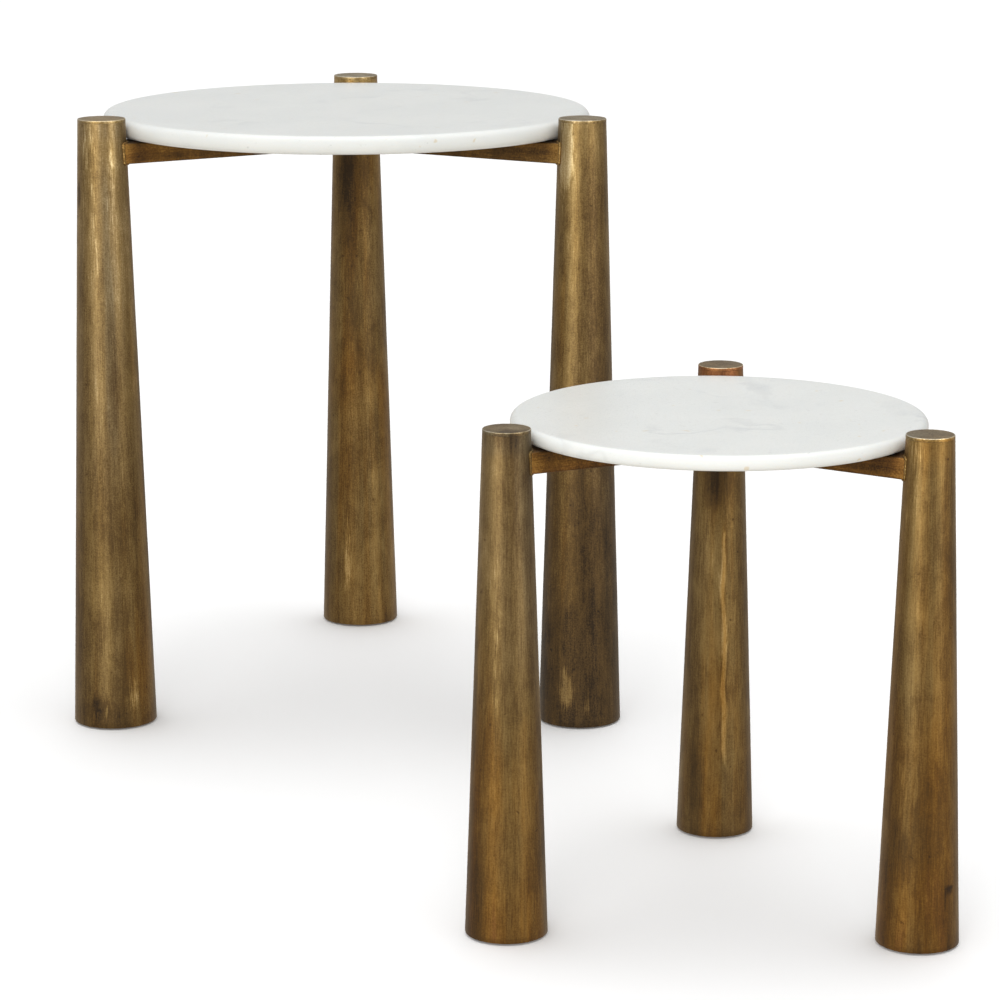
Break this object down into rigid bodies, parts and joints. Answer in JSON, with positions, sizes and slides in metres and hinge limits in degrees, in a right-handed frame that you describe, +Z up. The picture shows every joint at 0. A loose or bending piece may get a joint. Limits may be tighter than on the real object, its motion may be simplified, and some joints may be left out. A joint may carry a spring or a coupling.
{
  "type": "nesting tables",
  "caption": "Pair of round nesting side tables: marble discs held between three tapered antique-brass legs on a three-armed frame; the lower table slides under the taller one.",
  "frame": {"origin": "on the floor, in the middle of the bounding box of the pair as it stands, the small table in front of the large one and to its right", "axes": "+Z up, out of the marble tops; -Y towards the front, where each table has two legs; +X to the right"},
  "size_m": [0.809, 1.1798, 0.61],
  "materials": {
    "white_marble": "honed, softly polished",
    "antique_brass": "antiqued, brushed along the leg, darkened patina",
    "steel_plate": "lacquered raw steel",
    "zinc_steel": "zinc plated",
    "nylon": "moulded, fine texture",
    "rubber": "matte"
  },
  "bodies": {
    "large_frame": {"large_left_leg": "antique_brass", "large_left_cap": "antique_brass", "large_left_base_plate": "steel_plate", "large_left_glide": "nylon", "large_left_arm": "antique_brass", "large_left_bumper": "rubber", "large_right_leg": "antique_brass", "large_right_cap": "antique_brass", "large_right_base_plate": "steel_plate", "large_right_glide": "nylon", "large_right_arm": "antique_brass", "large_right_bumper": "rubber", "large_back_leg": "antique_brass", "large_back_cap": "antique_brass", "large_back_base_plate": "steel_plate", "large_back_glide": "nylon", "large_back_arm": "antique_brass", "large_back_bumper": "rubber", "large_hub": "antique_brass", "large_glide_screws": "zinc_steel"},
    "large_top": {"large_marble_top": "white_marble"},
    "small_frame": {"small_left_leg": "antique_brass", "small_left_cap": "antique_brass", "small_left_base_plate": "steel_plate", "small_left_glide": "nylon", "small_left_arm": "antique_brass", "small_left_bumper": "rubber", "small_right_leg": "antique_brass", "small_right_cap": "antique_brass", "small_right_base_plate": "steel_plate", "small_right_glide": "nylon", "small_right_arm": "antique_brass", "small_right_bumper": "rubber", "small_back_leg": "antique_brass", "small_back_cap": "antique_brass", "small_back_base_plate": "steel_plate", "small_back_glide": "nylon", "small_back_arm": "antique_brass", "small_back_bumper": "rubber", "small_hub": "antique_brass", "small_glide_screws": "zinc_steel"},
    "small_top": {"small_marble_top": "white_marble"}
  },
  "joints": [
    {"name": "nest_slide", "type": "slide", "parent": "large_frame", "child": "small_frame", "axis": [-0.5313, 0.8472, 0], "range_m": [0, 0.668]},
    {"name": "large_top_lift", "type": "slide", "parent": "large_frame", "child": "large_top", "axis": [0, 0, 1], "range_m": [0, 0.06]},
    {"name": "small_top_lift", "type": "slide", "parent": "small_frame", "child": "small_top", "axis": [0, 0, 1], "range_m": [0, 0.04]}
  ]
}
